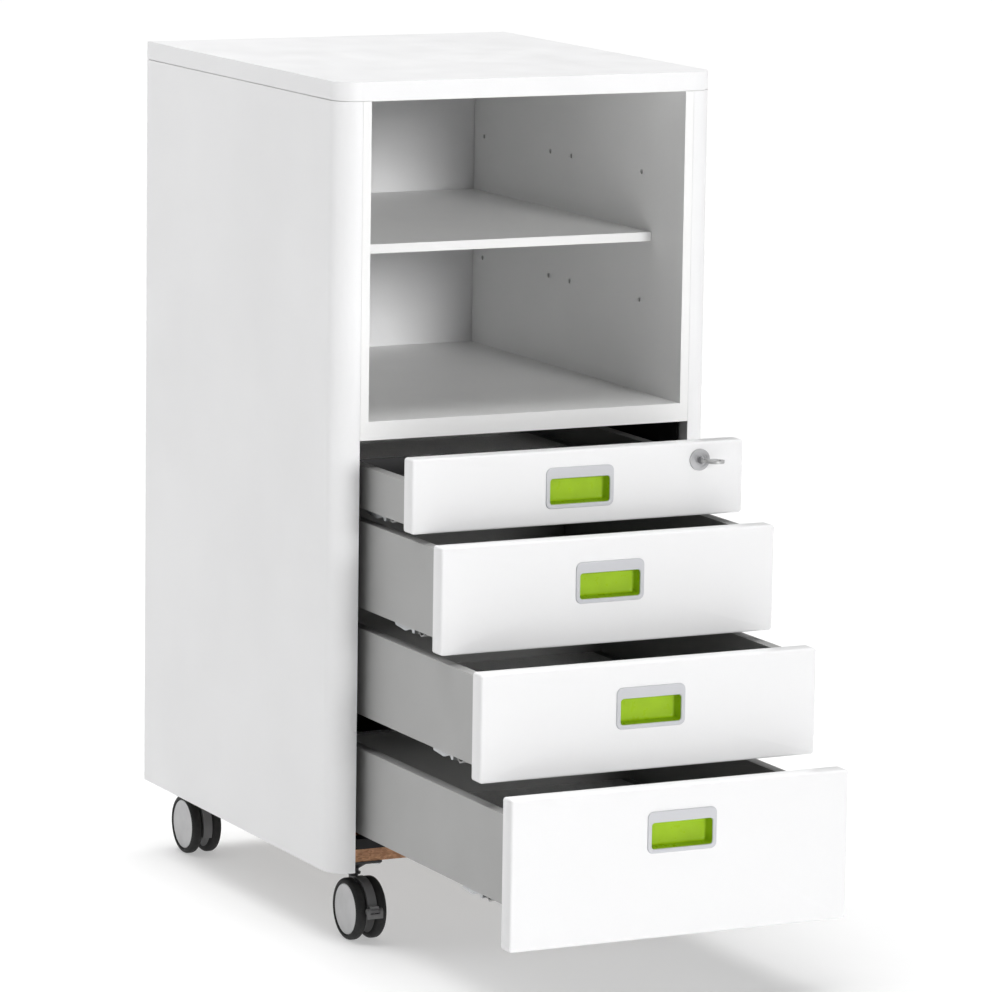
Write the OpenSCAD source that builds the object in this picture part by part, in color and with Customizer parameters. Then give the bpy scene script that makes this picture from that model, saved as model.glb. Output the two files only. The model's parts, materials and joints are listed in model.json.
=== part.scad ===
// Steel pedestal cabinet on castors: an open compartment with a shelf above four drawers.
// Lengths are in millimetres. +X is right, +Y is back, +Z is up and Z = 0 is the floor.
// The drawers stand open by the amounts below, and the origin is under the middle of the whole.

/* [Body] */
// Overall width of the body
body_w = 430; // [424:1:440]
// Depth of the body without the drawers
body_d = 500; // [500:1:540]
// Height of the side panels
side_h = 798; // [798:1:860]
// Thickness of the top panel
top_h = 19; // [16:1:24]
// Radius of the upright front corners
corner_r = 25; // [18:1:25.5]
// Thickness of the sheet steel
sheet = 1.2; // [1:0.1:1.4]

/* [Compartment] */
// Height of the compartment floor's top face above the side panels' lower edge
floor_top = 470.3; // [466:0.1:480]
// Height of the rail in front of the compartment floor
floor_rail = 19.2; // [16:0.1:19.2]
// Height of the shelf's top face above the side panels' lower edge
shelf_top = 642.6; // [574.6:68:710.6]
// Thickness of the shelf's turned-down edges
shelf_t = 9.5; // [8:0.5:12]
// Distance between shelf pin holes
pin_pitch = 68; // [60:1:70]

/* [Drawers] */
// Thickness of the drawer fronts
front_t = 19.6; // [18:0.1:20]
// Gap around each drawer front
front_gap = 2; // [1.5:0.1:3]
// Depth of the drawer boxes
box_d = 430; // [400:1:432]
// Full travel of each drawer
travel = 400; // [380:1:400]
// How far the first drawer stands open
open_1 = 123.6; // [0:0.1:380]
// How far the second drawer stands open
open_2 = 193.6; // [0:0.1:380]
// How far the third drawer stands open
open_3 = 286.4; // [0:0.1:380]
// How far the fourth drawer stands open
open_4 = 357.2; // [0:0.1:380]

/* [Handles and lock] */
// Width of a handle frame
handle_w = 77; // [70:1:90]
// Height of a handle frame
handle_h = 42.5; // [42:0.5:46]
// How far a handle frame stands proud of its front
handle_proud = 1.6; // [1.2:0.1:2]
// Distance of the lock from the middle of the front
lock_x = 137.1; // [120:0.1:140]
// Angle of the key's folding bow from straight out
bow_angle = 45; // [-75:1:75]

/* [Castors] */
// Diameter of the castor wheels
wheel_d = 65; // [60:1:66]
// Width of each tyre
tyre_w = 12; // [10:0.5:13]
// Distance of the castors from the middle of the body
castor_x = 170; // [160:1:172]
// Distance from the pivot back to the axle
castor_trail = 16; // [12:1:17]

/* [Hidden] */
$fn = 64;
side_z = 77;
seam = 0.8;
seam_x = 189;
skin_h = side_h - seam;
lining_x = seam_x - 0.2;
back_y = body_d - sheet;

wall_x = 179.5;
pin_hole_r = 2.5;
pin_r = 2.4;
pin_z0 = 567.6;
pin_front_y = 95.5;
pin_back_y = 473;
pin_columns = [pin_front_y, 259, 309, pin_back_y];
shelf_pin_z = shelf_top - 7.1;
shelf_front = 69.7;
shelf_back = 496;

board_z = 5.5;
board_t = 13.5;
rail_top_z = 29.8;

front_x = seam_x - 1;
front_h = [76, 109, 109, 152.5];
box_rise = [4.2, 11.7, 11.2, 40];
box_h = [44, 90, 90, 90];
open = [open_1, open_2, open_3, open_4];
box_x = 178;
box_t = 1;
box_floor = 13;
box_lip = 12;

slide_y = 24;
slide_l = 430;
slide_t = 1;
middle_l = travel;
runner_l = 416;
lever_y = 66.5;
lever_z = -2.8;
lever_pin_r = 1.2;
keeper_x = 154;
keeper_w = 16;
keeper_drop = 10;
keeper_lip = 8;
bar_y = 480;
bar_t = 3;

cup_open_w = 68;
cup_open_h = 26.5;
cup_rim = 4.6;
cup_hook = 7;
cup_depth = 12.5;
cup_t = 1.2;

lock_z = 431.9;
barrel_r = 9;
core_r = 8;
running = 0.05;
bow_pin_y = -8.5;
bow_pin_r = 1;

castor_front_y = 45;
castor_back_y = 474;
axle_z = wheel_d / 2 - side_z;
axle_r = 3;
tyre_x = 5.4;
disc_r = 26.55;
hood_r = wheel_d / 2 + 0.7;
hood_w = 10;
stem_r = 3.5;
brake_y = -36.3;
brake_z = 4;

// The whole is moved back so that its depth, open drawers included, is centred on the origin.
front_y = (max(open) + handle_proud - body_d) / 2;

CORNERS = ["fl", "fr", "rl", "rr"];
FRONT_CORNERS = ["fl", "fr"];

steel_white = [0.93, 0.93, 0.93];
steel_grey = [0.72, 0.72, 0.71];
steel_dark = [0.16, 0.16, 0.17];
zinc = [0.7, 0.71, 0.72];
lime = [0.6, 0.76, 0.2];
black = [0.1, 0.1, 0.1];

// Heights of the drawer fronts, counted from the top one down; index 0 is the top drawer.
function front_top(i) = i == 0 ? floor_top - floor_rail - 1.2 : front_bottom(i - 1) - front_gap;
function front_bottom(i) = front_top(i) - front_h[i];
function box_z(i) = front_bottom(i) + box_rise[i];
function keeper_z(i) = box_z(i) + box_h[i] - keeper_drop;
function handle_top(i) = i == 0 ? (front_top(0) + front_bottom(0) + handle_h) / 2 : front_top(i) - 24;
// Room under a box down to what it passes over: the next front, or the frame's front rail.
function room_below(i) = box_z(i) - 0.8 - (i == 3 ? rail_top_z : front_top(i + 1));

// From the body's front plane and the side panels' lower edge to the part's own frame.
module on_castors() {
  translate([0, front_y, side_z]) children();
}

module drawn_out(i) {
  on_castors() translate([0, -open[i], 0]) children();
}

// The right-hand child and its mirror image.
module both_sides() {
  children();
  mirror([1, 0, 0]) children();
}

// An outline given in (y, z), drawn out along +X.
module along_x(length) {
  rotate([90, 0, 90]) linear_extrude(length) children();
}

module rounded_rect(w, h, r) {
  square([w - 2 * r, h], center = true);
  square([w, h - 2 * r], center = true);
  for (x = [-1, 1], y = [-1, 1]) {
    translate([x * (w / 2 - r), y * (h / 2 - r)]) circle(r = r);
  }
}

// The body's outline in plan, moved in by inset.
module footprint(inset) {
  w = body_w - 2 * inset;
  translate([-w / 2, corner_r]) square([w, body_d - corner_r - inset]);
  translate([corner_r - body_w / 2, inset]) square([body_w - 2 * corner_r, corner_r]);
  for (s = [-1, 1]) {
    translate([s * (body_w / 2 - corner_r), corner_r]) circle(r = corner_r - inset);
  }
}

module top_panel() {
  color(steel_white) on_castors() translate([0, 0, side_h]) difference() {
    linear_extrude(top_h) footprint(0);
    translate([0, 0, -1]) linear_extrude(top_h - sheet + 1) footprint(sheet);
  }
}

module top_core() {
  color("white") on_castors() translate([0, 0, skin_h]) {
    linear_extrude(top_h + seam - sheet - 0.05) footprint(sheet + 0.3);
  }
}

// Right side panel: a skin round the front corner, with returns at the front, back, top and foot.
module side_skin() {
  flange = 15;
  front_return = 18;
  difference() {
    linear_extrude(skin_h) footprint(0);
    translate([0, 0, -1]) linear_extrude(skin_h + 2) footprint(sheet);
    translate([-body_w, -1, -1]) cube([body_w + seam_x, body_d + 2, skin_h + 2]);
  }
  translate([seam_x, 0, 0]) cube([sheet, front_return, skin_h]);
  for (z = [0, skin_h - sheet]) {
    translate([0, 0, z]) linear_extrude(sheet) difference() {
      footprint(0);
      footprint(flange);
      translate([-body_w, -1]) square([body_w + seam_x, body_d + 2]);
    }
  }
}

module side_right() {
  color(steel_white) on_castors() side_skin();
}

module side_left() {
  color(steel_white) on_castors() mirror([1, 0, 0]) side_skin();
}

module back_panel() {
  color(steel_white) on_castors() translate([-lining_x, back_y, sheet]) {
    cube([2 * lining_x, sheet, side_h - 2 - sheet]);
  }
}

// Right wall of the compartment, with flanges turned outwards and four columns of pin holes.
module inner_wall() {
  wall_h = skin_h - floor_top;
  wall_back = back_y - 1.2;
  difference() {
    translate([wall_x, 0, floor_top]) {
      cube([sheet, wall_back, wall_h]);
      cube([lining_x - wall_x, sheet, wall_h]);
      translate([0, wall_back - sheet, 0]) cube([lining_x - wall_x, sheet, wall_h]);
    }
    for (y = pin_columns, k = [0:2]) {
      translate([wall_x - 1, y, pin_z0 + k * pin_pitch]) rotate([0, 90, 0]) cylinder(r = pin_hole_r, h = 4);
    }
  }
}

module inner_wall_right() {
  color(steel_grey) on_castors() inner_wall();
}

module inner_wall_left() {
  color(steel_grey) on_castors() mirror([1, 0, 0]) inner_wall();
}

// A tray turned upside down: a top sheet with its edges turned down on the chosen sides.
module turned_tray(w, d, h, side_lips) {
  hollow_w = side_lips ? w - 2 * sheet : w + 2;
  translate([-w / 2, 0, -h]) difference() {
    cube([w, d, h]);
    translate([(w - hollow_w) / 2, sheet, -1]) cube([hollow_w, d - 2 * sheet, h - sheet + 1]);
  }
}

module compartment_floor() {
  color(steel_grey) on_castors() translate([0, 0, floor_top]) {
    turned_tray(2 * lining_x, back_y - 0.2, floor_rail, true);
  }
}

module shelf() {
  color(steel_grey) on_castors() translate([0, shelf_front, shelf_top]) {
    turned_tray(2 * wall_x - 2.4, shelf_back - shelf_front, shelf_t, false);
  }
}

module shelf_pins() {
  collar_r = shelf_top - sheet - shelf_pin_z;
  color(zinc) on_castors() both_sides() for (y = [pin_front_y, pin_back_y]) {
    translate([0, y, shelf_pin_z]) rotate([0, 90, 0]) {
      translate([0, 0, 168]) cylinder(r = collar_r, h = wall_x - 168.1);
      translate([0, 0, 168]) cylinder(r = pin_r, h = 18);
    }
  }
}

module base_board() {
  color("saddlebrown") on_castors() translate([-lining_x + 1.6, 23, board_z]) {
    cube([2 * lining_x - 3.2, back_y - 25, board_t]);
  }
}

// A guide that the lock bar slides in, closed below where it is the lower one.
module bar_guide(z, floor_t) {
  guide_y = bar_y - 4;
  translate([keeper_x - 6, guide_y, z]) difference() {
    cube([keeper_w + 12, back_y - 0.2 - guide_y, 20]);
    translate([3.5, 3.6, floor_t]) cube([keeper_w + 5, bar_t + 0.8, 30]);
  }
}

// Welded frame around the drawers: two side linings joined by rails at the front and back.
module inner_frame() {
  lining_y = 21;
  lining_top = floor_top - floor_rail - 0.2;
  rail_z = board_z + board_t + 0.05;
  back_rail_y = back_y - 0.2 - sheet;
  color(steel_dark) on_castors() {
    both_sides() translate([lining_x - sheet, lining_y, board_z + 0.5]) {
      cube([sheet, back_y - 0.2 - lining_y, lining_top - board_z - 0.5]);
    }
    translate([-lining_x, lining_y + 1, rail_z]) cube([2 * lining_x, sheet, rail_top_z - rail_z]);
    translate([-lining_x, lining_y + 1, rail_top_z - sheet]) cube([2 * lining_x, 18, sheet]);
    for (z = [rail_z, 340]) {
      translate([-lining_x, back_rail_y, z]) cube([2 * lining_x, sheet, 41]);
    }
    bar_guide(60, 4);
    bar_guide(360, -1);
  }
}

// A folded channel with its opening upwards, standing on z = 0 and centred on x = 0.
module channel(w, h, length, lip) {
  difference() {
    translate([-w / 2, 0, 0]) cube([w, length, h]);
    translate([slide_t - w / 2, -1, slide_t]) cube([w - 2 * slide_t, length + 2, h - 2 * slide_t]);
    translate([lip - w / 2, -1, slide_t]) cube([w - 2 * lip, length + 2, h]);
  }
}

// Fixed rail of one slide, right-hand side, with two brackets that reach in from the lining.
module fixed_rail(zb) {
  bracket_x = 150;
  bracket_z = -2.2;
  translate([0, 0, zb]) {
    translate([159, slide_y, 0.4]) channel(26, 9, slide_l, 2.5);
    for (y = [150, 400]) translate([bracket_x, y, bracket_z]) {
      cube([lining_x - sheet - bracket_x - 0.1, 40, sheet]);
      cube([18, 40, 0.4 - bracket_z + 0.5]);
      translate([lining_x - 2 * sheet - bracket_x - 0.1, 0, 0]) cube([sheet, 40, 12]);
    }
  }
}

module cabinet_rails() {
  color(zinc) on_castors() for (i = [0:3]) both_sides() fixed_rail(box_z(i));
}

// Middle member of each slide, which follows its drawer at half the speed.
module slide_middle(i) {
  color(zinc) on_castors() both_sides() {
    translate([159, slide_y + 6 - open[i] / 2, box_z(i) + 1.9]) channel(20, 6, middle_l, slide_t);
  }
}

// Clip body under the front of a slide, right-hand side, with the lever's pin between its cheeks.
module clip_body(hang) {
  deep = min(hang, 5);
  cheek_x = [152, 172.3];
  cheek_w = [5.7, 4.7];
  translate([cheek_x[0], 0, 0]) along_x(25) {
    polygon([[70, -0.4], [110, -0.4], [110, -2.8], [86.5, -deep], [82, 1 - deep], [74, -1.5], [70, -1.5]]);
  }
  for (k = [0, 1]) translate([cheek_x[k], 0, 0]) along_x(cheek_w[k]) {
    polygon([[64, -0.4], [71, -0.4], [71, -1.5], [68.9, -4.4], [65, -4.4], [64, -3.4]]);
  }
  translate([153, lever_y, lever_z]) rotate([0, 90, 0]) cylinder(r = lever_pin_r, h = 23);
  translate([173.2, 74, -1.2]) cube([box_x - box_t - 173.2, 36, 9]);
}

module slide_runner(i) {
  color(zinc) drawn_out(i) translate([0, front_t, box_z(i)]) both_sides() {
    translate([152, 5, 3.4]) difference() {
      cube([14, runner_l, box_floor - 3.4]);
      translate([sheet, -1, sheet]) cube([14 - 2 * sheet, runner_l + 2, box_floor - 3.4 - 2 * sheet]);
    }
    clip_body(room_below(i));
  }
}

// Release levers of the slides, hinged on the clip bodies' pins, each with a finger hook.
module slide_catch(i) {
  tip = -min(room_below(i), 7.3);
  lever_w = 14;
  color(steel_grey) drawn_out(i) translate([0, front_t, box_z(i)]) both_sides() {
    translate([158, 0, 0]) difference() {
      union() {
        translate([0, lever_y, lever_z]) rotate([0, 90, 0]) cylinder(r = 2.4, h = lever_w);
        along_x(lever_w) polygon([
          [lever_y, -1.9], [lever_y, -4.4], [63.5, -4.6], [59.5, tip], [53.5, tip + 1.7], [50.5, -3.3],
          [51.3, -2.3], [54.5, tip + 3.1], [59.5, tip + 1.9], [63, -2.6]
        ]);
      }
      translate([-1, lever_y, lever_z]) rotate([0, 90, 0]) {
        cylinder(r = lever_pin_r + running, h = lever_w + 2);
      }
    }
  }
}

// Front board of a drawer, with a pocket for the handle cup and a hole for the lock on the top one.
module drawer_front(i) {
  pocket_z = handle_top(i) - handle_h + cup_rim - cup_t - 0.3;
  pocket_h = cup_open_h + cup_hook + 2 * cup_t + 0.6;
  pocket_w = cup_open_w + 2 * cup_t + 0.6;
  color("white") drawn_out(i) difference() {
    translate([0, front_t, (front_top(i) + front_bottom(i)) / 2]) {
      rotate([90, 0, 0]) linear_extrude(front_t) rounded_rect(2 * front_x, front_h[i], 2);
    }
    translate([-pocket_w / 2, -1, pocket_z]) cube([pocket_w, cup_depth + cup_t + 1.4, pocket_h]);
    if (i == 0) {
      translate([lock_x, -1, lock_z]) rotate([-90, 0, 0]) cylinder(r = barrel_r + 0.05, h = front_t + 2);
    }
  }
}

// Hook plate behind a box that the lock bar's tabs reach into.
module keeper(i) {
  translate([keeper_x, box_d + front_t - 0.5, keeper_z(i)]) {
    cube([keeper_w, 14.9, sheet]);
    translate([0, 13.4, -keeper_lip]) cube([keeper_w, 1.5, keeper_lip + 1]);
  }
}

module drawer_box(i) {
  depth_in = box_d - 2 * box_t;
  width_in = 2 * (box_x - box_t);
  color(steel_white) drawn_out(i) {
    translate([-box_x, front_t, box_z(i)]) difference() {
      cube([2 * box_x, box_d, box_h[i]]);
      translate([box_t, -1, -1]) cube([width_in, box_d + 2, box_floor + 1]);
      translate([box_t, box_t, box_floor + box_t]) {
        cube([width_in, depth_in, box_h[i] - box_floor - 2 * box_t]);
      }
      translate([box_lip, box_lip, box_floor + box_t]) {
        cube([2 * (box_x - box_lip), box_d - 2 * box_lip, box_h[i]]);
      }
    }
    keeper(i);
  }
}

module handle_frame(i) {
  middle_z = handle_top(i) - handle_h / 2;
  open_z = handle_top(i) - handle_h + cup_rim + cup_open_h / 2;
  color(zinc) drawn_out(i) rotate([90, 0, 0]) linear_extrude(handle_proud) difference() {
    translate([0, middle_z]) rounded_rect(handle_w, handle_h, 5);
    translate([0, open_z]) rounded_rect(cup_open_w, cup_open_h, 2.5);
  }
}

// Finger cup, higher inside than the frame's opening so that fingers hook behind the frame.
module handle_cup(i) {
  inside_h = cup_open_h + cup_hook;
  open_z = handle_top(i) - handle_h + cup_rim;
  color(lime) drawn_out(i) translate([0, 0, open_z]) difference() {
    translate([-cup_open_w / 2 - cup_t, 0, -cup_t]) {
      cube([cup_open_w + 2 * cup_t, cup_depth + cup_t, inside_h + 2 * cup_t]);
    }
    translate([-cup_open_w / 2, -1, 0]) cube([cup_open_w, cup_depth + 1, inside_h]);
  }
}

// Tray in the top drawer: one long trough and three short ones.
module pen_tray() {
  tray_w = 2 * (box_x - box_lip) - 2;
  tray_d = 170;
  tray_h = 26;
  wall = 2;
  trough_d = 62;
  cell_w = (tray_w - 4 * wall) / 3;
  color(black) drawn_out(0) translate([-tray_w / 2, front_t + box_lip + 1, box_z(0) + box_floor + box_t]) {
    difference() {
      cube([tray_w, tray_d, tray_h]);
      translate([wall, wall, wall]) cube([tray_w - 2 * wall, trough_d, tray_h]);
      for (k = [0:2]) translate([wall + k * (cell_w + wall), trough_d + 2 * wall, wall]) {
        cube([cell_w, tray_d - trough_d - 3 * wall, tray_h]);
      }
    }
  }
}

// A turned piece of the lock, with its axis along Y from y0 to y1 through the lock's centre.
module lock_turned(r, y0, y1) {
  translate([0, y0, 0]) rotate([-90, 0, 0]) cylinder(r = r, h = y1 - y0);
}

module at_lock() {
  drawn_out(0) translate([lock_x, 0, lock_z]) children();
}

module lock_housing() {
  color(zinc) at_lock() difference() {
    union() {
      lock_turned(11.2, -2, 0);
      lock_turned(barrel_r, -1, 24);
    }
    lock_turned(core_r + running, -3, 25);
  }
}

module lock_core() {
  color(zinc) at_lock() difference() {
    lock_turned(core_r, -1.6, 26);
    translate([-1.25, -2, -3.55]) cube([2.5, 10.1, 7.1]);
  }
}

module lock_cam() {
  color(zinc) at_lock() difference() {
    union() {
      lock_turned(7, 26.05, 28.5);
      translate([-5, 26.05, 0]) cube([10, 2.45, 15]);
    }
    lock_turned(2, 25, 30);
  }
}

// Fixed half of the key: the blade in the core and two ears with the bow's pin.
module key_blade() {
  color(zinc) at_lock() {
    translate([-1.2, -5.8, -3.5]) cube([2.4, 13.8, 7]);
    for (z = [-3.5, 1.7]) translate([0, bow_pin_y, z]) {
      cylinder(r = 2.2, h = 1.8);
      translate([-1.2, 0, 0]) cube([2.4, 3, 1.8]);
    }
    translate([0, bow_pin_y, -3.5]) cylinder(r = bow_pin_r, h = 7);
  }
}

module key_bow() {
  color(zinc) at_lock() translate([0, bow_pin_y, -1.4]) rotate([0, 0, bow_angle]) difference() {
    union() {
      cylinder(r = 2.5, h = 2.8);
      translate([-2.5, -8, 0]) cube([5, 8, 2.8]);
      translate([0, -13.5, 0]) cylinder(r = 9, h = 2.8);
    }
    translate([0, 0, -1]) cylinder(r = bow_pin_r + running, h = 5);
    translate([0, -17, -1]) cylinder(r = 2.2, h = 5);
  }
}

// Upright bar behind the boxes, with one hooked tab for each drawer.
module lock_bar() {
  bar_bottom = 64.1;
  bar_top = 424;
  reach = 26;
  tab_lip = 9;
  color(zinc) on_castors() {
    translate([keeper_x - 2, bar_y, bar_bottom]) cube([keeper_w + 4, bar_t, bar_top - bar_bottom]);
    for (i = [0:3]) translate([keeper_x, bar_y - reach, keeper_z(i) - keeper_lip - 2 - tab_lip]) {
      translate([0, 0, -sheet]) cube([keeper_w, reach + 1, sheet]);
      translate([0, 0, -sheet]) cube([keeper_w, 1.6, tab_lip + sheet]);
    }
  }
}

function corner_sign(c) = c == "fl" || c == "rl" ? -1 : 1;
function is_front(c) = c == "fl" || c == "fr";
function pivot_y(c) = is_front(c) ? castor_front_y : castor_back_y;

module at_pivot(c) {
  on_castors() translate([corner_sign(c) * castor_x, pivot_y(c), 0]) children();
}

module at_axle(c) {
  at_pivot(c) translate([0, -castor_trail, axle_z]) children();
}

module at_plate_holes() {
  for (x = [-18, 18], y = [-18, 18]) translate([x, y, 0]) children();
}

module castor_plates() {
  plate_t = 2.5;
  color(black) for (c = CORNERS) at_pivot(c) {
    difference() {
      translate([0, 0, board_z - plate_t]) linear_extrude(plate_t) rounded_rect(47, 47, 5);
      at_plate_holes() cylinder(r = 2.6, h = 12);
    }
    translate([0, 0, -5]) cylinder(r1 = 7, r2 = 19.5, h = 8.2);
    translate([0, 0, -9.3]) cylinder(r = 5.5, h = 5);
    translate([0, 0, -25.5]) cylinder(r = stem_r, h = 17);
  }
}

module plate_screws() {
  color(zinc) for (c = CORNERS) at_pivot(c) at_plate_holes() {
    translate([0, 0, 1.5]) cylinder(r = 4.2, h = 1.5);
    translate([0, 0, 2]) cylinder(r = 2.5, h = board_z - 2);
  }
}

// Side outline of a hood round the axle at (0, 0): a front castor's ends higher at the front.
module hood_outline(c) {
  front_end = is_front(c) ? 7 : -11;
  back_end = -11;
  intersection() {
    circle(r = hood_r);
    union() {
      translate([-hood_r, front_end]) square([hood_r, hood_r]);
      translate([0, back_end]) square([hood_r, hood_r - back_end]);
    }
  }
  circle(r = 10);
}

module castor_hood(c) {
  boss_top = -9.5;
  color(black) difference() {
    union() {
      at_axle(c) translate([-hood_w / 2, 0, 0]) along_x(hood_w) hood_outline(c);
      at_pivot(c) translate([0, 0, boss_top - 6]) cylinder(r = hood_w / 2, h = 6);
      at_pivot(c) translate([0, 0, boss_top - 1.8]) cylinder(r = 7.5, h = 1.8);
      if (is_front(c)) at_axle(c) {
        translate([-hood_w / 2, brake_y, brake_z]) cube([hood_w, 8, 5]);
        translate([-hood_w / 2, brake_y, brake_z]) rotate([0, 90, 0]) cylinder(r = 2.2, h = hood_w);
        translate([-8.6, brake_y, brake_z]) rotate([0, 90, 0]) cylinder(r = 1.5, h = 17.2);
      }
    }
    at_pivot(c) translate([0, 0, boss_top - 17]) cylinder(r = stem_r + running, h = 20);
    at_axle(c) translate([-10, 0, 0]) rotate([0, 90, 0]) cylinder(r = axle_r + running, h = 20);
  }
}

// Half section of a tyre in (radius, width), with rounded shoulders.
module tyre_section() {
  r = wheel_d / 2;
  shoulder = 4.5;
  translate([disc_r + running, 0]) square([r - shoulder - disc_r - running, tyre_w]);
  translate([r - shoulder - 1, shoulder]) square([shoulder + 1, tyre_w - 2 * shoulder]);
  for (x = [shoulder, tyre_w - shoulder]) translate([r - shoulder, x]) circle(r = shoulder);
}

module wheel_disc() {
  translate([0, 0, 1.6]) difference() {
    union() {
      cylinder(r = disc_r, h = tyre_w - 4);
      translate([0, 0, -1.2]) cylinder(r = 6, h = tyre_w - 1);
    }
    translate([0, 0, tyre_w - 5.6]) difference() {
      cylinder(r = disc_r - 2.5, h = 4);
      cylinder(r = 6, h = 4);
    }
    translate([0, 0, -3]) cylinder(r = axle_r + running, h = tyre_w + 6);
  }
}

// Two tyres, two discs and their axle.
module castor_wheels(c) {
  color(black) at_axle(c) {
    both_sides() translate([tyre_x, 0, 0]) rotate([0, 90, 0]) {
      rotate_extrude() tyre_section();
      wheel_disc();
    }
    translate([-tyre_x - tyre_w, 0, 0]) rotate([0, 90, 0]) cylinder(r = axle_r, h = 2 * (tyre_x + tyre_w));
  }
}

module brake_lever(c) {
  ear_x = hood_w / 2 + 0.3;
  outer_x = 8.8;
  pad_y = -3;
  pad_h = 7.5;
  color([0.4, 0.4, 0.4]) at_axle(c) translate([0, brake_y, brake_z]) {
    difference() {
      union() {
        both_sides() translate([ear_x, 0, 0]) {
          rotate([0, 90, 0]) cylinder(r = 3, h = outer_x - ear_x);
          translate([0, pad_y, -pad_h]) cube([outer_x - ear_x, 3, pad_h]);
        }
        translate([-outer_x, pad_y, -pad_h]) cube([2 * outer_x, 2, pad_h - 2.6]);
      }
      translate([-10, 0, 0]) rotate([0, 90, 0]) cylinder(r = 1.5 + running, h = 20);
    }
  }
}

top_panel();
top_core();
side_left();
side_right();
back_panel();
inner_wall_left();
inner_wall_right();
compartment_floor();
shelf();
shelf_pins();
base_board();
inner_frame();
cabinet_rails();
castor_plates();
plate_screws();
lock_bar();
for (i = [0:3]) {
  drawer_front(i);
  drawer_box(i);
  handle_frame(i);
  handle_cup(i);
  slide_runner(i);
  slide_catch(i);
  slide_middle(i);
}
pen_tray();
lock_housing();
lock_core();
lock_cam();
key_blade();
key_bow();
for (c = CORNERS) {
  castor_hood(c);
  castor_wheels(c);
}
for (c = FRONT_CORNERS) {
  brake_lever(c);
}
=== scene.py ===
"""Looks of a steel pedestal cabinet on castors: materials, rounded edges, studio and camera."""

import json
import math

import bmesh
import bpy
from mathutils import Matrix, Vector


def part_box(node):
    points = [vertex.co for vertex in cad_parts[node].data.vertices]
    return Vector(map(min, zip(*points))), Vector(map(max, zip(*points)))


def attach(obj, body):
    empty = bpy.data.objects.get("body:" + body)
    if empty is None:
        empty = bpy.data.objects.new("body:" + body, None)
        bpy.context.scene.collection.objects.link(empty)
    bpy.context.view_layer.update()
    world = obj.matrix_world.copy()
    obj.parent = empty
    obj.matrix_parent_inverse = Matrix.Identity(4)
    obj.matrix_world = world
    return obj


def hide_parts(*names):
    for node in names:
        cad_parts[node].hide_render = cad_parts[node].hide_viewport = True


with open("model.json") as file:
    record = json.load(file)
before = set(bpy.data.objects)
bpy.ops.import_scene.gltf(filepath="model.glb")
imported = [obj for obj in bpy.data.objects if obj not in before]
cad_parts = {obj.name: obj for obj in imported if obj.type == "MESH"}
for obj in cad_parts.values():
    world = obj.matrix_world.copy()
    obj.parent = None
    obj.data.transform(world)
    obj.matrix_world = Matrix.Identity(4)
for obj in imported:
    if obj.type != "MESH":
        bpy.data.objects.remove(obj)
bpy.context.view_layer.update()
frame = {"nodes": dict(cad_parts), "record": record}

MM = 0.001
DRAWERS = range(1, 5)
CORNERS = ("fl", "fr", "rl", "rr")
SCENE = bpy.context.scene


# ---------------------------------------------------------------- materials

# Sockets of a Mix node that is set to colours
MIX_FIRST, MIX_SECOND, MIX_RESULT = 6, 7, 2

# Sizes of the patterns in paint, in metres
PAINT_CLOUD, PAINT_GLOSS, PAINT_WAVE, PAINT_SPECK = 0.16, 0.045, 0.03, 0.0008

# How bright a speck is beside the paint round it
SPECK_TONE = 0.97

# How far from its middle a drawer box's floor gives way to its side, in metres; the floor between takes a
# lighter colour as painted light
PAINTED_LIT_FLOOR_EDGE = (0.1655, 0.1665)


def scaled(colour, factor):
    return tuple(min(1.0, c * factor) for c in colour)


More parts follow.
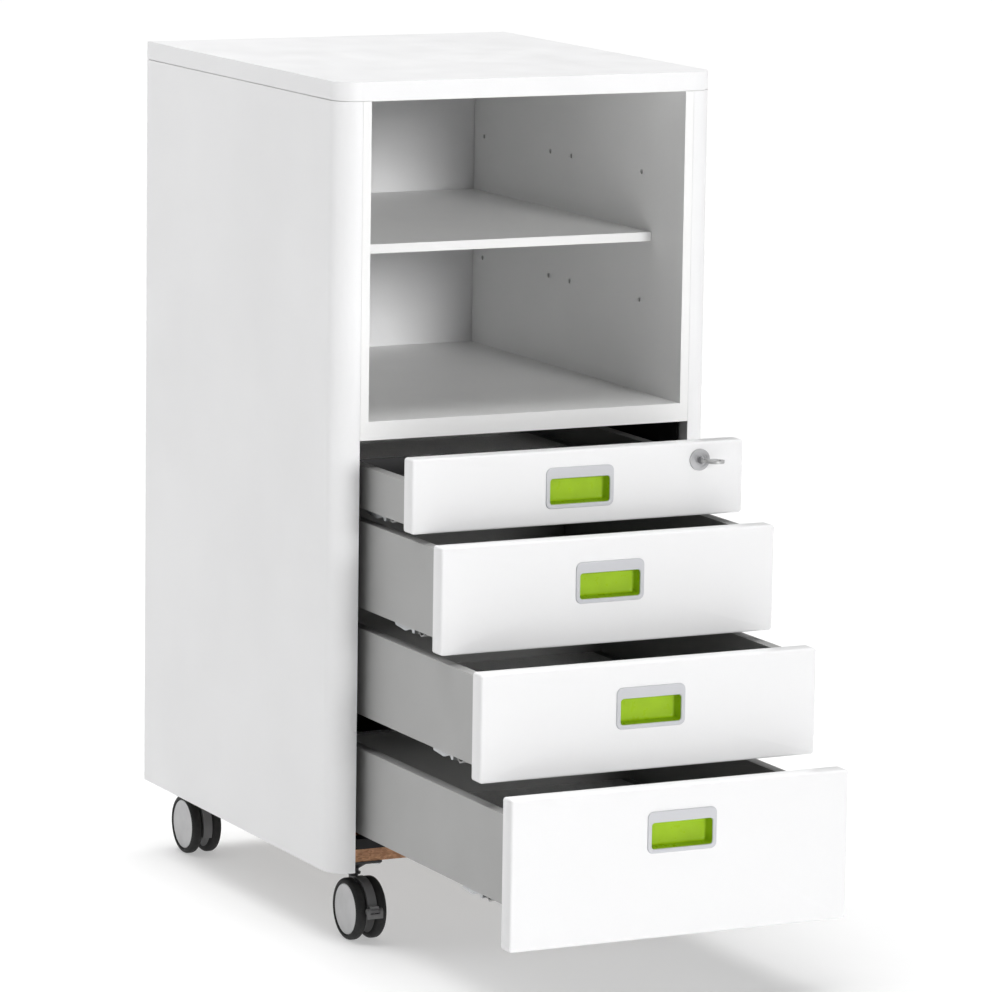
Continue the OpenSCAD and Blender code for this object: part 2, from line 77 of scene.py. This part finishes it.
class Nodes:
    """Short calls for a material's node tree. Textures use object coordinates, in metres."""

    def __init__(self, name):
        self.material = bpy.data.materials.new(name)
        self.material.use_nodes = True
        self.tree = self.material.node_tree
        self.shader = self.tree.nodes["Principled BSDF"]
        self.coords = self.tree.nodes.new("ShaderNodeTexCoord").outputs["Object"]

    def new(self, kind, **values):
        """A node, with its properties or its sockets set by name."""
        made = self.tree.nodes.new(kind)
        for key, value in values.items():
            if hasattr(made, key):
                setattr(made, key, value)
            else:
                made.inputs[key.replace("_", " ")].default_value = value
        return made

    def link(self, source, target):
        self.tree.links.new(source, target)

    def stretched(self, scale):
        mapping = self.new("ShaderNodeMapping", Scale=scale)
        self.link(self.coords, mapping.inputs["Vector"])
        return mapping.outputs["Vector"]

    def noise(self, size, detail=3.0, roughness=0.5, stretch=None):
        made = self.new("ShaderNodeTexNoise", Scale=1 / size, Detail=detail, Roughness=roughness)
        self.link(self.stretched(stretch) if stretch else self.coords, made.inputs["Vector"])
        return made.outputs["Fac"]

    def ranged(self, value, low, high, source=(0.3, 0.7)):
        """The value, taken from the source range to low..high and held there."""
        made = self.new("ShaderNodeMapRange")
        made.inputs["From Min"].default_value, made.inputs["From Max"].default_value = source
        made.inputs["To Min"].default_value, made.inputs["To Max"].default_value = low, high
        self.link(value, made.inputs["Value"])
        return made.outputs["Result"]

    def maths(self, operation, *values):
        made = self.new("ShaderNodeMath", operation=operation)
        for value, socket in zip(values, made.inputs):
            self.link(value, socket)
        return made.outputs[0]

    def axis(self, vector, letter):
        """One component of a vector."""
        parts = self.new("ShaderNodeSeparateXYZ")
        self.link(vector, parts.inputs["Vector"])
        return parts.outputs[letter]

    def upward(self):
        """How far the surface faces up: 1 on level faces, -1 on undersides."""
        return self.axis(self.new("ShaderNodeNewGeometry").outputs["Normal"], "Z")

    def mixed(self, factor, first, second):
        """Two colours, each a fixed one or another node's output."""
        made = self.new("ShaderNodeMix", data_type="RGBA")
        self.link(factor, made.inputs["Factor"])
        for socket, colour in ((made.inputs[MIX_FIRST], first), (made.inputs[MIX_SECOND], second)):
            if isinstance(colour, tuple):
                socket.default_value = (*colour, 1)
            else:
                self.link(colour, socket)
        return made.outputs[MIX_RESULT]

    def uneven(self, colour, spread, patches):
        """The colour, from darker to lighter by the spread with the patches' value."""
        return self.mixed(self.ranged(patches, 0, 1), scaled(colour, 1 - spread), scaled(colour, 1 + spread))

    def bump(self, height, distance, after=None):
        made = self.new("ShaderNodeBump", Distance=distance)
        self.link(height, made.inputs["Height"])
        if after is not None:
            self.link(after, made.inputs["Normal"])
        return made.outputs["Normal"]

    def finish(self, colour, rough, normal, **fixed):
        """The material; the fixed values are the same all over it."""
        for source, name in ((colour, "Base Color"), (rough, "Roughness"), (normal, "Normal")):
            self.link(source, self.shader.inputs[name])
        for key, value in fixed.items():
            self.shader.inputs[key.replace("_", " ")].default_value = value
        return self.material


def painted(name, colour, rough=0.42, grain=0.0011, relief=0.00002, spread=0.02, coat=0.0,
            shine=0.5, painted_lit_floor=None):
    """Powder coat or lacquer: fine orange peel, faint cloudiness and slightly uneven gloss.

    A drawer box may get painted light on its floor: the level faces between its two sides take a lighter
    colour that stands for the light falling on them.
    """
    n = Nodes(name)
    tone = n.uneven(colour, spread, n.noise(PAINT_CLOUD, detail=2))
    if painted_lit_floor:
        # Painted light: the level faces of a drawer box's floor, between its sides, take a lighter colour
        # for the light falling on them
        off_middle = n.maths("ABSOLUTE", n.axis(n.coords, "X"))
        between_sides = n.ranged(off_middle, 1, 0, source=PAINTED_LIT_FLOOR_EDGE)
        level = n.ranged(n.upward(), 0, 1, source=(0.5, 0.9))
        tone = n.mixed(n.maths("MULTIPLY", between_sides, level), tone, painted_lit_floor)
    specks = n.ranged(n.noise(PAINT_SPECK, detail=2), 0, 1, source=(0.55, 0.8))
    tone = n.mixed(specks, tone, scaled(colour, SPECK_TONE))
    gloss = n.ranged(n.noise(PAINT_GLOSS, detail=4), rough - 0.04, rough + 0.05)
    peel = n.bump(n.noise(grain, detail=1), relief)
    wave = n.bump(n.noise(PAINT_WAVE, detail=1), relief * 2, after=peel)
    return n.finish(tone, gloss, wave, Coat_Weight=coat, Coat_Roughness=0.2, Specular_IOR_Level=shine)


def metal(name, colour, rough=0.32, brushed=(1, 1, 1)):
    """Plated or brushed steel: streaks along the stretched axis and uneven gloss."""
    streak, patch, depth, spread = 0.0012, 0.03, 0.00001, 0.08
    n = Nodes(name)
    streaks = n.noise(streak, stretch=brushed)
    tone = n.uneven(colour, spread, n.noise(patch, detail=4))
    gloss = n.ranged(streaks, rough - 0.08, rough + 0.1)
    return n.finish(tone, gloss, n.bump(streaks, depth), Metallic=1.0)


def plastic(name, colour, rough=0.45, relief=0.00003, shine=0.5):
    """Moulded plastic with a spark-eroded grain."""
    patch, sheen, grain, spread = 0.02, 0.006, 0.0008, 0.06
    n = Nodes(name)
    tone = n.uneven(colour, spread, n.noise(patch))
    gloss = n.ranged(n.noise(sheen, detail=4), rough - 0.05, rough + 0.07)
    normal = n.bump(n.noise(grain, detail=2), relief)
    return n.finish(tone, gloss, normal, Specular_IOR_Level=shine)


def particle_board(name, light, dark, backing):
    """Pressed board: flat chips of several tones and a rough open surface, with a backing underneath."""
    chips_per_metre, chip_shape, chip_depth, dirt, wear = 260.0, (1, 0.6, 2.2), 0.0002, 0.01, 0.004
    n = Nodes(name)
    chips = n.new("ShaderNodeTexVoronoi", Scale=chips_per_metre)
    n.link(n.stretched(chip_shape), chips.inputs["Vector"])
    chip_tone = n.new("ShaderNodeSeparateColor")
    n.link(chips.outputs["Color"], chip_tone.inputs["Color"])
    tone = n.mixed(chip_tone.outputs["Red"], dark, light)
    dust = n.ranged(n.noise(dirt, detail=6), 0, 0.5)
    tone = n.mixed(dust, tone, scaled(dark, 0.6))
    underneath = n.ranged(n.upward(), 1, 0, source=(-0.9, -0.5))
    tone = n.mixed(underneath, tone, backing)
    normal = n.bump(chips.outputs["Distance"], chip_depth)
    return n.finish(tone, n.ranged(n.noise(wear), 0.6, 0.8), normal)


def rubber(name, colour):
    """Tyre rubber: dull, with grey scuffs and fine dust."""
    scuff, dust, grain, depth = 0.004, 0.01, 0.0009, 0.00006
    n = Nodes(name)
    scuffs = n.ranged(n.noise(scuff, detail=6, roughness=0.7), 0, 0.6, source=(0.5, 0.75))
    tone = n.mixed(scuffs, colour, scaled(colour, 2.2))
    gloss = n.ranged(n.noise(dust, detail=4), 0.5, 0.68)
    return n.finish(tone, gloss, n.bump(n.noise(grain), depth), Specular_IOR_Level=0.3)


# One material for each slot of the record
MATERIALS = {
    "body_paint": painted("white_powder_coat", (0.845, 0.845, 0.85)),
    "inner_paint": painted("white_powder_coat_inside", (0.865, 0.865, 0.86), rough=0.45),
    "core_white": painted("white_faced_board", (0.82, 0.82, 0.815), rough=0.5, spread=0.03),
    # Grey drawer boxes, with painted light: their level floors take a lighter colour
    "box_paint": painted("grey_powder_coat_painted_lit_floor", (0.37, 0.37, 0.365), rough=0.38, painted_lit_floor=(0.88, 0.88, 0.87)),
    # Painted shade: the inner frame's near-black colour stands for the shade deep inside the cabinet
    "frame_paint": painted("inner_frame_painted_shade", (0.01, 0.01, 0.011), rough=0.55, spread=0.15, shine=0.3),
    "front_lacquer": painted("white_lacquer", (0.81, 0.81, 0.815), rough=0.32, relief=0.000004,
                             spread=0.004, coat=0.1),
    "board": particle_board("particle_board", (0.68, 0.37, 0.2), (0.38, 0.18, 0.09), (0.42, 0.40, 0.38)),
    "slide_zinc": metal("zinc_plate", (0.42, 0.43, 0.44), brushed=(1, 0.03, 1)),
    "lock_nickel": metal("satin_nickel", (0.42, 0.42, 0.43), rough=0.36),
    "handle_silver": painted("silver_paint", (0.545, 0.55, 0.575), rough=0.34, grain=0.0006),
    "cup_lime": plastic("lime_plastic", (0.325, 0.515, 0.01), rough=0.3, relief=0.00001, shine=0.25),
    "catch_grey": plastic("light_grey_plastic", (0.36, 0.36, 0.355)),
    "tray_black": plastic("black_tray_plastic", (0.06, 0.06, 0.062), rough=0.5, relief=0.00006),
    "castor_black": plastic("black_nylon", (0.14, 0.14, 0.143), rough=0.42),
    "plate_black": painted("black_paint", (0.02, 0.02, 0.02), rough=0.4, spread=0.1),
    "wheel_rubber": rubber("tyre_rubber", (0.016, 0.016, 0.016)),
    "lever_grey": plastic("dark_grey_plastic", (0.15, 0.15, 0.15)),
    "key_silver": metal("brushed_key_steel", (0.45, 0.45, 0.45), rough=0.4),
}
DISC_GREY = plastic("disc_grey_plastic", (0.6, 0.6, 0.605), rough=0.42)


# ---------------------------------------------------------------- mesh tools

# Faces that meet at a smaller angle shade smoothly
SMOOTH_DEGREES = 32

# Steps round each corner of a rounded rectangle
CORNER_STEPS = 6


def make_piece(name, bm, material, body, slot, *replaced):
    """A piece from a bmesh: its material, the body it rides on and the CAD node it stands for."""
    mesh = bpy.data.meshes.new(name)
    bmesh.ops.recalc_face_normals(bm, faces=bm.faces)
    bm.to_mesh(mesh)
    bm.free()
    piece = bpy.data.objects.new(name, mesh)
    SCENE.collection.objects.link(piece)
    mesh.materials.append(material)
    mesh.shade_smooth()
    mesh.set_sharp_from_angle(angle=math.radians(SMOOTH_DEGREES))
    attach(piece, body)
    if replaced:
        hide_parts(*replaced)


def upright_ring(width, height, radius, centre, y):
    """Points round a rectangle with rounded corners that faces the front, at depth y."""
    points = []
    for quarter, (sx, sz) in enumerate(((1, 1), (-1, 1), (-1, -1), (1, -1))):
        for step in range(CORNER_STEPS + 1):
            angle = math.radians(90 * (quarter + step / CORNER_STEPS))
            across = sx * (width / 2 - radius) + radius * math.cos(angle)
            up = sz * (height / 2 - radius) + radius * math.sin(angle)
            points.append((centre[0] + across, y, centre[1] + up))
    return points


def inset_ring(width, height, radius, inset, centre, y):
    """The same ring, drawn in by the inset on every side."""
    return upright_ring(width - 2 * inset, height - 2 * inset, radius - inset, centre, y)


def quarter_steps(count):
    """(sine, cosine) pairs over a quarter turn, for rounding an edge."""
    angles = [math.pi / 2 * k / count for k in range(count + 1)]
    return [(math.sin(a), math.cos(a)) for a in angles]


def loft(rings, closed=False):
    """Quads between rings of the same number of points; flat caps, or a join of the ends."""
    bm = bmesh.new()
    rows = [[bm.verts.new(p) for p in ring] for ring in rings]
    pairs = list(zip(rows, rows[1:]))
    if closed:
        pairs.append((rows[-1], rows[0]))
    for first, second in pairs:
        count = len(first)
        for k in range(count):
            after = (k + 1) % count
            bm.faces.new((first[k], first[after], second[after], second[k]))
    if not closed:
        bm.faces.new(rows[0])
        bm.faces.new(rows[-1])
    return bm


def turned(profile, centre, segments=64):
    """A closed profile of (radius, along) points, turned about the X axis through the centre."""
    rings = []
    for k in range(segments):
        angle = 2 * math.pi * k / segments
        c, s = math.cos(angle), math.sin(angle)
        rings.append([(centre[0] + along, centre[1] + r * c, centre[2] + r * s) for r, along in profile])
    return loft(rings, closed=True)


def arc(centre, radius, start, end, steps):
    """(radius, along) points on an arc, angles in degrees from the radial direction."""
    angles = [math.radians(start + (end - start) * k / steps) for k in range(steps + 1)]
    return [(centre[0] + radius * math.cos(a), centre[1] + radius * math.sin(a)) for a in angles]


# ---------------------------------------------------------------- carried-over CAD parts

# Width of a part's rounded edges, in metres
EDGES = {
    "top_panel": 0.0016,
    "side_left": 0.0004,
    "side_right": 0.0004,
    "shelf": 0.0008,
    "compartment_floor": 0.0006,
}
PLAIN_EDGE = 0.0003

# Faces that meet at a smaller angle keep their edge
EDGE_DEGREES = 40


def dress(node, slot):
    """The part's material, with a small rounded edge."""
    obj = frame["nodes"][node]
    obj.material_slots[0].material = MATERIALS[slot]
    edge = obj.modifiers.new("edge", "BEVEL")
    edge.width = EDGES.get(node, PLAIN_EDGE)
    edge.segments = 2
    edge.limit_method = "ANGLE"
    edge.angle_limit = math.radians(EDGE_DEGREES)
    obj.modifiers.new("normals", "WEIGHTED_NORMAL")


for row in frame["record"]["subparts"]:
    dress(row["node"], row["material_slot"])


# ---------------------------------------------------------------- drawer fronts and handles

def seen_from_front(lo, hi):
    """Centre (x, z), width and height of a box."""
    return ((lo.x + hi.x) / 2, (lo.z + hi.z) / 2), hi.x - lo.x, hi.z - lo.z


def front_piece(number):
    """Lacquered board with soft edges and a pocket behind the handle."""
    node = f"drawer_front_{number}"
    lo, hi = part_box(node)
    cup_lo, cup_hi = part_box(f"handle_cup_{number}")
    centre, width, height = seen_from_front(lo, hi)
    pocket_centre, cup_w, cup_h = seen_from_front(cup_lo, cup_hi)
    play, pocket_corner = 0.3 * MM, 1 * MM
    soft, back_soft, corner = 2.6 * MM, 0.8 * MM, 3.2 * MM
    rings = [
        upright_ring(cup_w + 2 * play, cup_h + 2 * play, pocket_corner, pocket_centre, y)
        for y in (cup_hi.y + play, lo.y)
    ]
    for s, c in quarter_steps(6):
        rings.append(inset_ring(width, height, corner, soft * (1 - s), centre, lo.y + soft * (1 - c)))
    for s, c in quarter_steps(3):
        ring_y = hi.y - back_soft * (1 - s)
        rings.append(inset_ring(width, height, corner, back_soft * (1 - c), centre, ring_y))
    make_piece(f"front_board_{number}", loft(rings), MATERIALS["front_lacquer"],
               f"drawer_{number}", "front_lacquer", node)


def frame_piece(number):
    """Silver frame with a rounded rim, a flat face and a soft inner edge."""
    node = f"handle_frame_{number}"
    lo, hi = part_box(node)
    centre, width, height = seen_from_front(lo, hi)
    rim, open_w, open_h, open_corner = 4.6 * MM, 68 * MM, 26.5 * MM, 3 * MM
    hole = (centre[0], lo.z + rim + open_h / 2)
    corner, soft, inner = 6.5 * MM, 1.1 * MM, 0.9 * MM
    seated, back_inset = hi.y + 0.8 * MM, 2 * MM
    rings = [upright_ring(open_w, open_h, open_corner, hole, seated)]
    for s, c in quarter_steps(4):
        rings.append(inset_ring(open_w, open_h, open_corner, -inner * (1 - c), hole, lo.y + inner * (1 - s)))
    for s, c in quarter_steps(5):
        ring_y = lo.y + min(soft, hi.y - lo.y) * (1 - c)
        rings.append(inset_ring(width, height, corner, soft * (1 - s), centre, ring_y))
    rings.append(upright_ring(width, height, corner, centre, hi.y))
    rings.append(inset_ring(width, height, corner, back_inset, centre, seated))
    make_piece(f"silver_frame_{number}", loft(rings, closed=True), MATERIALS["handle_silver"],
               f"drawer_{number}", "handle_silver", node)


def cup_piece(number):
    """Lime cup: its walls draw in towards a floor with rounded corners."""
    node = f"handle_cup_{number}"
    lo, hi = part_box(node)
    centre, width, height = seen_from_front(lo, hi)
    wall, fillet, draft, back_soft = 1.2 * MM, 2.4 * MM, 1.1 * MM, 1 * MM
    inner_corner, outer_corner = 3 * MM, 3.6 * MM
    inside_w, inside_h = width - 2 * wall, height - 2 * wall
    front, floor = lo.y + 0.05 * MM, hi.y - wall
    rings = []
    for s, c in quarter_steps(5):
        shrink = 2 * (draft + fillet * (1 - s))
        ring_y = floor - fillet * (1 - c)
        rings.append(upright_ring(inside_w - shrink, inside_h - shrink, inner_corner, centre, ring_y))
    rings += [
        upright_ring(inside_w, inside_h, inner_corner, centre, front),
        upright_ring(width, height, outer_corner, centre, front),
        upright_ring(width, height, outer_corner, centre, hi.y - back_soft),
        upright_ring(width - 2 * back_soft, height - 2 * back_soft, inner_corner, centre, hi.y),
    ]
    make_piece(f"lime_cup_{number}", loft(rings), MATERIALS["cup_lime"],
               f"drawer_{number}", "cup_lime", node)


for drawer in DRAWERS:
    front_piece(drawer)
    frame_piece(drawer)
    cup_piece(drawer)


# ---------------------------------------------------------------- castors

def wheel_set(corner):
    """Two tyres with round shoulders, each with a flat cover disc and a core, and the axle between."""
    node = f"castor_wheels_{corner}"
    body = f"wheels_{corner}"
    lo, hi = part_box(node)
    centre = (lo + hi) / 2
    outer = (hi.z - lo.z) / 2
    half = (hi.x - lo.x) / 2
    tyre_w, shoulder, tyre_bore = 12 * MM, 4.5 * MM, 26.55 * MM
    inner_x = half - tyre_w
    tyre = [(tyre_bore, inner_x), (tyre_bore, half - 1.2 * MM), (tyre_bore + 1 * MM, half - 0.4 * MM)]
    tyre += reversed(arc((outer - shoulder, half - shoulder), shoulder, 0, 90, 6))
    tyre += reversed(arc((outer - shoulder, inner_x + shoulder), shoulder, -90, 0, 6))

    disc_r, pin_hole = tyre_bore - 0.1 * MM, 0.4 * MM
    face = half - 1.4 * MM
    seat = face - 3 * MM
    rim = [(tyre_bore - 0.8 * MM, 0.4 * MM), (tyre_bore - 1.8 * MM, 0.1 * MM)]
    dish = [(20 * MM, -0.3 * MM), (12 * MM, -0.1 * MM), (4 * MM, 0.3 * MM), (pin_hole, 0.35 * MM)]
    disc = [(disc_r, seat), (disc_r, face), *((r, face + rise) for r, rise in rim + dish), (pin_hole, seat)]

    core_front, core_back, core_rim = seat - 0.05 * MM, inner_x + 2 * MM, inner_x + 1 * MM
    core_web = 20 * MM
    core = [(disc_r, core_rim), (disc_r, core_front), (pin_hole, core_front)]
    core += [(pin_hole, core_back), (core_web, core_back)]

    for side, label in ((-1, "left"), (1, "right")):
        for kind, profile, material, slot, replaced in (
            ("tyre", tyre, MATERIALS["wheel_rubber"], "wheel_rubber", [node]),
            ("disc", disc, DISC_GREY, "catch_grey", []),
            ("wheel_core", core, MATERIALS["castor_black"], "castor_black", []),
        ):
            bm = turned([(r, side * along) for r, along in profile], centre)
            make_piece(f"{kind}_{label}_{corner}", bm, material, body, slot, *replaced)

    axle_r, axle_bore, axle_end = 3 * MM, 0.3 * MM, inner_x + MM
    axle = [(axle_r, -axle_end), (axle_r, axle_end), (axle_bore, axle_end), (axle_bore, -axle_end)]
    bm = turned(axle, centre, segments=32)
    make_piece(f"axle_{corner}", bm, MATERIALS["slide_zinc"], body, "slide_zinc")


for castor in CORNERS:
    wheel_set(castor)


# ---------------------------------------------------------------- studio

def towards(azimuth, elevation):
    """Unit vector from the cabinet; azimuth 0 is to the front and -90 to the left, in degrees."""
    a, e = math.radians(azimuth), math.radians(elevation)
    return Vector((math.sin(a) * math.cos(e), -math.cos(a) * math.cos(e), math.sin(e)))


def facing(direction):
    """Turn of a light or camera that looks along the direction, with its top up."""
    return direction.to_track_quat("-Z", "Y")


def pale_floor():
    """Pale ground with a little light of its own, which keeps the cabinet's shadow faint."""
    material = painted("studio_floor", (0.6, 0.6, 0.6), rough=0.6, spread=0.005)
    lit = material.node_tree.nodes["Principled BSDF"].inputs
    lit["Emission Color"].default_value = (1, 1, 1, 1)
    lit["Emission Strength"].default_value = 0.38
    bpy.ops.mesh.primitive_plane_add(size=90, location=(0, 30, 0))
    floor = bpy.context.object
    floor.name = "studio_floor"
    floor.data.materials.append(material)


def soft_sun(name, azimuth, elevation, strength, spread):
    """Even light from far off, spread over this many degrees."""
    light = bpy.data.lights.new(name, "SUN")
    light.energy = strength
    light.angle = math.radians(spread)
    obj = bpy.data.objects.new(name, light)
    obj.rotation_euler = facing(-towards(azimuth, elevation)).to_euler()
    SCENE.collection.objects.link(obj)


def soft_box(name, place, target, width, power):
    """A square panel of light that faces its target."""
    light = bpy.data.lights.new(name, "AREA")
    light.size = width
    light.energy = power
    obj = bpy.data.objects.new(name, light)
    obj.location = place
    obj.rotation_euler = facing(Vector(target) - Vector(place)).to_euler()
    obj.visible_camera = False
    SCENE.collection.objects.link(obj)


def studio():
    world = bpy.data.worlds.new("studio")
    world.use_nodes = True
    background = world.node_tree.nodes["Background"]
    background.inputs["Color"].default_value = (1, 1, 1, 1)
    background.inputs["Strength"].default_value = 0.12
    SCENE.world = world
    soft_sun("front", azimuth=6.5, elevation=12.5, strength=1.68, spread=13)
    soft_sun("overhead", azimuth=180, elevation=83, strength=2.85, spread=50)
    soft_box("left", place=(-2.0, 1.4, 2.9), target=(-0.2, 0.1, 0.8), width=2.2, power=30)
    SCENE.view_settings.view_transform = "Standard"


def camera():
    """A long lens, far off to the front left and a little above the top."""
    back = towards(azimuth=-26.34, elevation=9.505)
    roll = math.radians(0.847)
    data = bpy.data.cameras.new("camera")
    data.sensor_width = 36
    data.lens = 206.56
    data.clip_end = 200
    cam = bpy.data.objects.new("camera", data)
    cam.rotation_mode = "QUATERNION"
    cam.rotation_quaternion = facing(-back) @ Matrix.Rotation(roll, 3, "Z").to_quaternion()
    cam.location = (-2.6035, -5.2617, 1.4318)
    SCENE.collection.objects.link(cam)
    SCENE.camera = cam


pale_floor()
studio()
camera()
